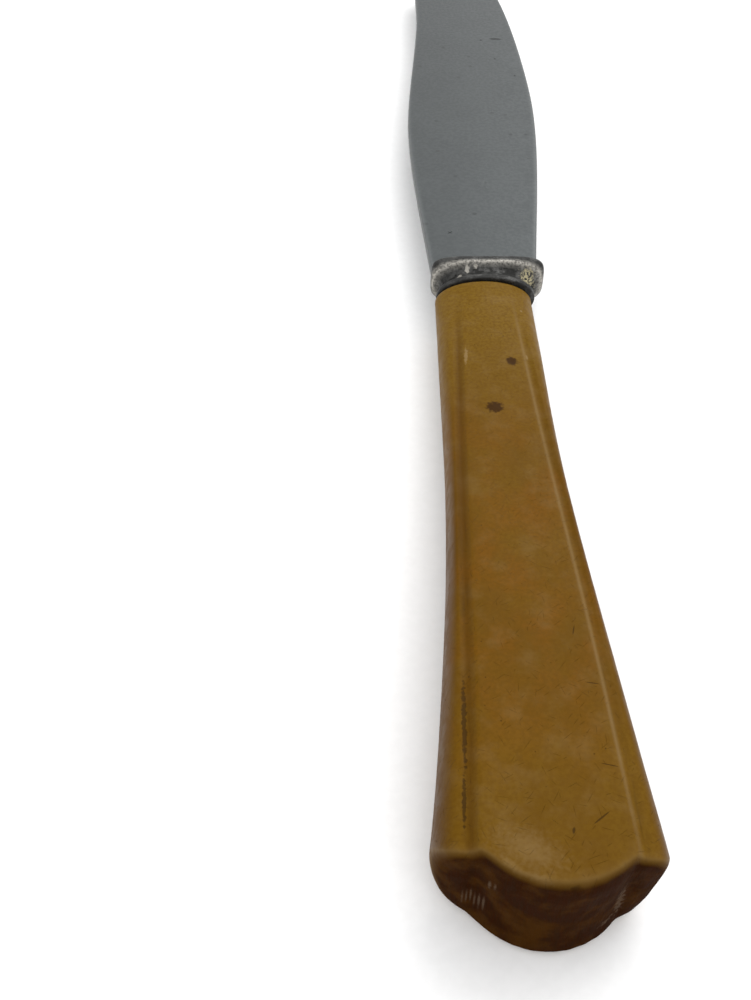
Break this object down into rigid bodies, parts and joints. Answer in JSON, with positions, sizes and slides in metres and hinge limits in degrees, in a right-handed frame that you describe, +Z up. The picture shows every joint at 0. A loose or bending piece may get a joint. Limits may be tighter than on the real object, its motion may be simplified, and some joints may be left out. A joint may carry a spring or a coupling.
{
  "type": "ink knife",
  "caption": "Hand knife with a broad spatula-like steel blade, a cast metal collar and a fluted resin handle with a scalloped butt.",
  "frame": {"origin": "on the surface that the knife lies on, under the middle of its length and width", "axes": "+Y along the knife from the butt to the tip, +X across the blade towards its edge, +Z up out of the blade's face"},
  "size_m": [0.0237, 0.223, 0.014],
  "materials": {
    "blade_steel": "satin, greyed by use, with fine scratches",
    "collar_metal": "dull cast white metal, darkened and pitted",
    "cast_resin": "mustard cast resin, worn to a soft gloss, darker on the butt",
    "cement": "matt cutler's cement, out of sight in the bore"
  },
  "bodies": {
    "root": {"blade": "blade_steel", "bolster": "collar_metal", "handle": "cast_resin", "tang_cement": "cement"}
  },
  "joints": []
}
